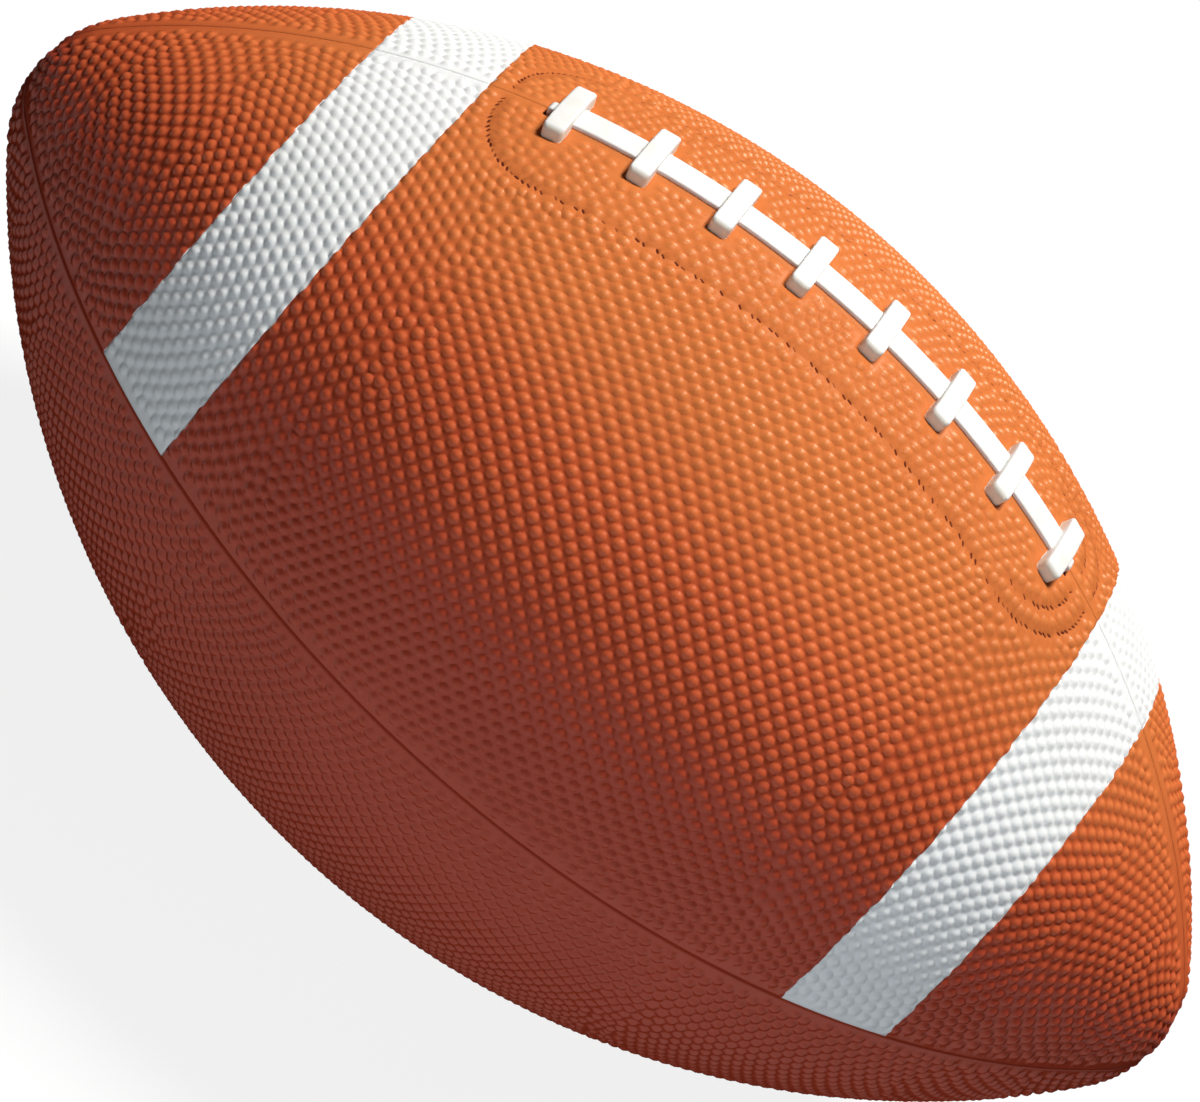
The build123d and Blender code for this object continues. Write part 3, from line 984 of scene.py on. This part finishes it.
def tail_path(hand, middle, thickness):
    """Middle line, outward directions and width of the strip's tail at one end."""
    origin, ahead, up = crown_frame(hand * (TAIL_END - TAIL_BEND))
    ahead = ahead * hand
    bend = TAIL_BEND - thickness / 2
    hub = origin + up * (middle - bend)
    centres = [origin + up * middle - ahead * lead for lead in TAIL_LEADS]
    ups = [up for _ in TAIL_LEADS]
    for turn in np.linspace(0, QUARTER, TAIL_BEND_POINTS):
        lift = ahead * math.sin(turn) + up * math.cos(turn)
        centres.append(hub + lift * bend)
        ups.append(lift)
    centres.append(centres[-1] + up * (TAIL_FOOT - middle + bend))
    ups.append(ahead)
    return centres, ups, TAIL_WIDTH


def strip_mesh(name):
    """The lace strip along the top seam, with a narrow tail that turns down at each end."""
    low, high = STRIP_LEVELS
    thickness, middle = high - low, (low + high) / 2
    frames = [crown_frame(along) for along in np.linspace(-STRIP_END, STRIP_END, STRIP_POINTS)]
    paths = [([o + u * middle for o, _, u in frames], [u for _, _, u in frames], STRIP_WIDTH)]
    for hand in (-1, 1):
        paths.append(tail_path(hand, middle, thickness))
    points, faces, total = [], [], 0
    for centres, ups, width in paths:
        ring_points, size = strap_rings(centres, ups, width, thickness, STRIP_EDGE)
        points.append(ring_points)
        faces += ring_faces(len(centres), size, total)
        total += len(ring_points)
    mesh = bpy.data.meshes.new(name)
    mesh.from_pydata(np.concatenate(points).tolist(), [], faces)
    turned_out(mesh)
    return mesh


class Shader:
    """Small helper for writing a material's nodes."""

    def __init__(self, name):
        self.material = bpy.data.materials.new(name)
        self.material.use_nodes = True
        self.tree = self.material.node_tree
        self.bsdf = self.tree.nodes["Principled BSDF"]
        self.place = self.node("ShaderNodeTexCoord").outputs["Object"]

    def node(self, kind, sockets=None, **settings):
        """Add a node with its settings and sockets."""
        node = self.tree.nodes.new(kind)
        for key, value in settings.items():
            setattr(node, key, value)
        self.fill(node, sockets or {})
        return node

    def fill(self, node, sockets):
        """Link each socket, or give it a plain value."""
        for key, value in sockets.items():
            if isinstance(value, bpy.types.NodeSocket):
                self.tree.links.new(value, node.inputs[key])
            else:
                node.inputs[key].default_value = value

    def noise(self, scale, detail):
        sockets = {"Vector": self.place, "Scale": scale, "Detail": detail, "Roughness": NOISE_ROUGHNESS}
        return self.node("ShaderNodeTexNoise", sockets).outputs["Fac"]

    def wave(self, scale, distortion):
        sockets = {"Vector": self.place, "Scale": scale, "Distortion": distortion}
        return self.node("ShaderNodeTexWave", sockets, bands_direction="DIAGONAL").outputs["Fac"]

    def attribute(self, name):
        return self.node("ShaderNodeAttribute", attribute_name=name).outputs["Fac"]

    def spread(self, value, low, high, new_low, new_high):
        """Map a value from one range to another, smoothly and within its ends."""
        sockets = dict(enumerate((value, low, high, new_low, new_high)))
        node = self.node("ShaderNodeMapRange", sockets, interpolation_type="SMOOTHSTEP")
        return node.outputs["Result"]

    def along(self, axis):
        """A point's distance from the ball's middle along X, Y or Z."""
        return self.node("ShaderNodeSeparateXYZ", {0: self.place}).outputs[axis]

    def math(self, operation, first, second=0.0):
        return self.node("ShaderNodeMath", {0: first, 1: second}, operation=operation).outputs[0]

    def facing(self):
        """0 where the surface faces the viewer, 1 where it is seen edge on."""
        return self.node("ShaderNodeLayerWeight").outputs["Facing"]

    def mix(self, factor, first, second, how="MIX"):
        sockets = {"Factor": factor, 6: first, 7: second}
        return self.node("ShaderNodeMix", sockets, data_type="RGBA", blend_type=how).outputs[2]

    def bump(self, height, strength, distance):
        sockets = {"Strength": strength, "Distance": distance, "Height": height}
        self.fill(self.bsdf, {"Normal": self.node("ShaderNodeBump", sockets).outputs["Normal"]})

    def finish(self, colour, roughness, specular=0.5):
        sockets = {"Base Color": colour, "Roughness": roughness, "Specular IOR Level": specular}
        self.fill(self.bsdf, sockets)
        return self.material


def painted(s, stripes):
    """1 on the white stripes and 0 off them, with a wavering edge."""
    waver = s.spread(s.noise(*PAINT_NOISE), *NOISE_WIDE, -PAINT_WAVER, PAINT_WAVER)
    middle = (stripes[0] + stripes[1]) / 2
    off_middle = s.math("ABSOLUTE", s.math("SUBTRACT", s.math("ABSOLUTE", s.along("X")), middle))
    depth = s.math("SUBTRACT", s.math("ADD", (stripes[1] - stripes[0]) / 2, waver), off_middle)
    inside = s.spread(depth, -PAINT_BLUR, PAINT_BLUR, 0, 1)
    return s.math("MULTIPLY", inside, s.math("GREATER_THAN", s.along("Z"), 0))


def pebbled_rubber(name, stripes):
    """Rubber of the cover, with painted light and shade: paler at the crown, darker down the flanks, painted
    shade in the valleys and pits, and a grain.
    """
    s = Shader(name)
    white = painted(s, stripes)
    tones = {tone: s.mix(white, COVER_TONES[tone], STRIPE_TONES[tone]) for tone in COVER_TONES}
    upward = s.attribute("upward")
    relief = s.attribute("relief")
    # Painted light and shade by how far the cover faces up: paler and yellower at the crown, darker and
    # redder down the flanks
    crown = s.spread(upward, *CROWN_FADE, 0, 1)
    lit = s.spread(upward, *VALLEY_FADE, 0, 1)
    body = s.mix(s.spread(upward, *SHOULDER_FADE, 0, 1), tones["flank"], tones["shoulder"])
    body = s.mix(crown, body, tones["crown"])
    # Painted shade in the valleys: deepest on the shoulders, fainter at the crown and none on the flanks
    valley = s.mix(lit, tones["flank_valley_shade"], tones["shoulder_valley_shade"])
    valley = s.mix(crown, valley, tones["crown_valley_shade"])
    body = s.mix(s.spread(s.noise(*COVER_MOTTLE), *NOISE_CORE, 0, 1), body, tones["mottle"], "MULTIPLY")
    body = s.mix(s.spread(relief, *VALLEY_SHADE_RELIEF, 1, 0), body, valley, "MULTIPLY")
    # Painted shade in the pits of the stitch marks and slits
    body = s.mix(s.spread(relief, *PIT_SHADE_RELIEF, 1, 0), body, tones["pit_shade"])
    s.bump(s.noise(*COVER_GRAIN), *COVER_BUMP)
    dull = s.math("MULTIPLY", s.spread(relief, *POLISH_FADE, 1, 0), lit)
    gloss = s.spread(s.facing(), *GLOSS_FADE, RUBBER_GLOSS, 0)
    gloss = s.math("MULTIPLY", gloss, s.spread(dull, 0, 1, 1, VALLEY_POLISH))
    return s.finish(body, s.spread(s.noise(*COVER_SHINE), *NOISE_WIDE, *RUBBER_ROUGHNESS), gloss)


def lace_plastic(name):
    """White plastic with faint cream patches, and cream at the ends of the bars."""
    s = Shader(name)
    cream = s.spread(s.noise(*LACE_MOTTLE), *NOISE_HIGH, 0, 1)
    colour = s.mix(cream, LACE_WHITE, LACE_CREAM)
    colour = s.mix(s.spread(s.attribute("sidelong"), *LACE_END_FADE, 0, 1), colour, LACE_END)
    s.bump(s.noise(*LACE_GRAIN), *LACE_BUMP)
    return s.finish(colour, s.spread(s.noise(*LACE_SHINE), *NOISE_WIDE, *LACE_ROUGHNESS))


def plain_rubber(name, light, dark, grain, roughness):
    """Unpebbled rubber: mottled tone and a moulded grain."""
    s = Shader(name)
    colour = s.mix(s.spread(s.noise(*PLAIN_MOTTLE), *NOISE_CORE, 0, 1), light, dark)
    s.bump(s.noise(grain, PLAIN_GRAIN_DETAIL), *PLAIN_BUMP)
    smooth, rough = roughness - PLAIN_ROUGHNESS_SPREAD, roughness + PLAIN_ROUGHNESS_SPREAD
    return s.finish(colour, s.spread(s.noise(*PLAIN_SHINE), *NOISE_WIDE, smooth, rough))


def wound_thread(name):
    """Nylon thread in crossing bands."""
    s = Shader(name)
    bands = s.wave(*THREAD_WAVES)
    colour = s.mix(bands, *THREAD_TONES)
    s.bump(bands, *THREAD_BUMP)
    return s.finish(colour, s.spread(s.noise(*THREAD_SHINE), *NOISE_WIDE, *THREAD_ROUGHNESS))


def dress_nodes():
    """Materials for the CAD nodes that show as they are, or that lie inside."""
    looks = {node: plain_rubber(*look) for node, look in PLAIN_RUBBERS.items()}
    looks["nylon_winding"] = wound_thread("winding_thread")
    for node, material in looks.items():
        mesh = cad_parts[node].data
        mesh.materials.clear()
        mesh.materials.append(material)


def build_cover():
    """The four pebbled panels, the upper two parted from their white stripes."""
    pebbles = pebble_centres()
    rubber = pebbled_rubber("pebbled_rubber", STRIPE_SPAN)
    for number, node in enumerate(PANELS):
        name = node.replace("panel", "pebbled")
        mesh = panel_mesh(PanelMesh(number * QUARTER, pebbles), name)
        if node not in STRIPED:
            add_piece(name, mesh, rubber, "ball", [node])
            continue
        zones = []
        for end in ("_left", "_right"):
            stripe = STRIPED[node] + end
            low, high = (corner.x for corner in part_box(stripe))
            zones.append((low, high))
            band = cut_zone(mesh, "pebbled_" + stripe, [(low + STRIPE_GAP, high - STRIPE_GAP)])
            add_piece("pebbled_" + stripe, band, rubber, "ball", [stripe])
        (a, b), (c, d) = zones
        rest = cut_zone(mesh, name, [(-math.inf, a), (b, c), (d, math.inf)])
        bpy.data.meshes.remove(mesh)
        add_piece(name, rest, rubber, "ball", [node])


def build_laces():
    """The strip and the eight bars."""
    plastic = lace_plastic("lace_plastic")
    add_piece("lace_strip", strip_mesh("lace_strip"), plastic, "ball", ["lace_spine"])
    for number, along in enumerate(bar_places(), start=1):
        name = f"lace_bar_{number}"
        add_piece(name, bar_mesh(name, along), plastic, "ball", [f"lace_loop_{number}"])


def add_camera():
    """Camera at the photograph's place, turned and shifted as there."""
    flat = math.cos(CAMERA_ELEVATION)
    toward = Vector((
        math.sin(CAMERA_AZIMUTH) * flat,
        -math.cos(CAMERA_AZIMUTH) * flat,
        math.sin(CAMERA_ELEVATION),
    ))
    aim = toward.to_track_quat("Z", "Y") @ Quaternion((0, 0, 1), CAMERA_ROLL)
    data = bpy.data.cameras.new("camera")
    data.lens = CAMERA_LENS
    camera = new_object("camera", data)
    camera.rotation_mode = "QUATERNION"
    camera.rotation_quaternion = aim
    camera.location = toward * CAMERA_DISTANCE + aim @ Vector((*CAMERA_ASIDE, 0))
    bpy.context.scene.camera = camera


def add_floor():
    """Floor that takes the ball's shadow, and looks white to the camera."""
    half = FLOOR_SIZE / 2
    mesh = bpy.data.meshes.new("floor")
    square = ((-half, -half), (half, -half), (half, half), (-half, half))
    mesh.from_pydata([(x, y, -BELLY_HEIGHT - FLOOR_DROP) for x, y in square], [], [(0, 1, 2, 3)])
    s = Shader("floor")
    s.finish(FLOOR_COLOUR, FLOOR_ROUGHNESS, 0.0)
    rays = s.node("ShaderNodeLightPath").outputs
    seen = rays["Is Camera Ray"]
    for ray in ("Is Glossy Ray", "Is Transmission Ray"):
        seen = s.math("MAXIMUM", seen, rays[ray])
    s.fill(s.bsdf, {"Emission Color": WHITE, "Emission Strength": s.math("MULTIPLY", seen, FLOOR_GLOW)})
    mesh.materials.append(s.material)
    floor = new_object("floor", mesh)


def add_lights():
    """The lamps, all aimed at the ball's middle, and a dim room."""
    for name, (place, size, power, colour, kind) in LAMPS.items():
        data = bpy.data.lights.new(name, "AREA")
        data.shape = "DISK"
        data.size = size
        data.energy = power
        data.color = colour
        light = new_object(name, data)
        light.location = place
        light.visible_camera = False
        light.visible_diffuse = kind == "diffuse"
        light.visible_glossy = kind == "glossy"
        light.rotation_mode = "QUATERNION"
        light.rotation_quaternion = Vector(place).to_track_quat("Z", "Y")
    world = bpy.data.worlds.new("room")
    world.use_nodes = True
    background = world.node_tree.nodes["Background"]
    background.inputs["Color"].default_value = ROOM_COLOUR
    background.inputs["Strength"].default_value = ROOM_STRENGTH
    bpy.context.scene.world = world


build_cover()
build_laces()
dress_nodes()
add_floor()
add_lights()
add_camera()
bpy.context.scene.view_settings.view_transform = "Standard"
